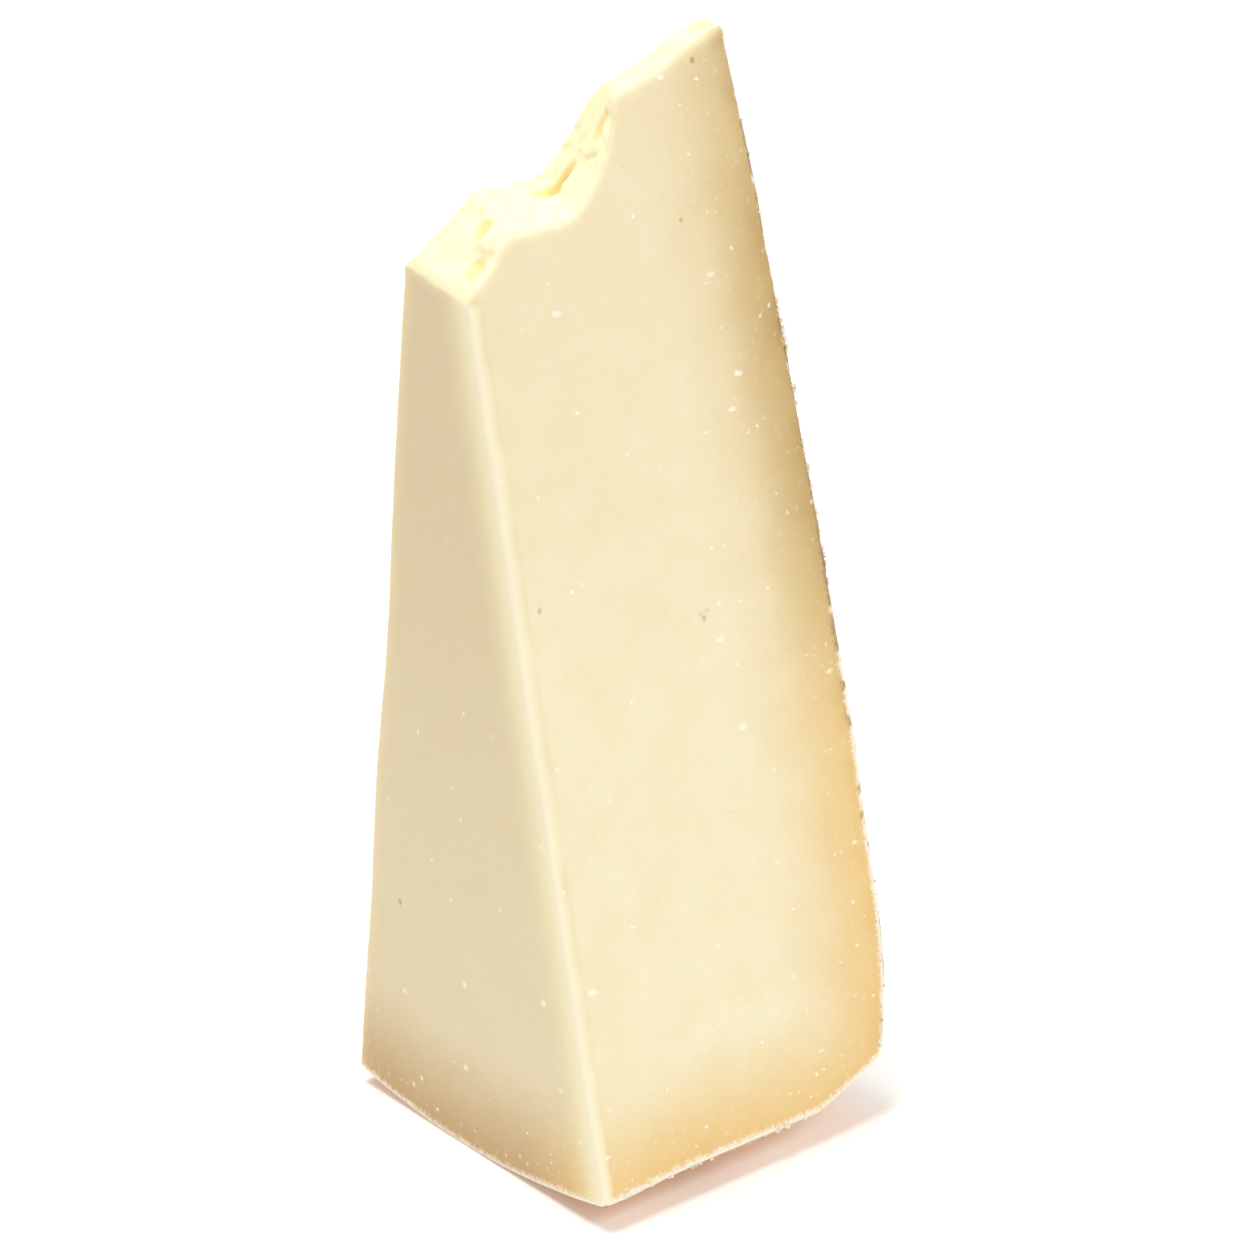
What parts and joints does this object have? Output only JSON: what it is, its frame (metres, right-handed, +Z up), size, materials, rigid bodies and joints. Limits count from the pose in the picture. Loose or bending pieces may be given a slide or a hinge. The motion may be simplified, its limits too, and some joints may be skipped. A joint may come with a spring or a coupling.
{
  "type": "clothbound cheddar wedge",
  "caption": "Tall wedge of firm pale yellow clothbound cheddar standing on its rind, with flat cut sides and a crumbly broken tip.",
  "frame": {"origin": "centre of the bounding box's bottom, at the height the wedge rests on", "axes": "+Z up from the rind base to the broken tip; +X from the flat cut face to the rind side; -Y faces the wide front cut"},
  "size_m": [0.0606, 0.0614, 0.1684],
  "materials": {
    "cheese_paste": "smooth waxy cut cheese, dry and crumbly where it is broken, with a thin mottled rind"
  },
  "bodies": {
    "root": {"cheddar_wedge": "cheese_paste"}
  },
  "joints": []
}
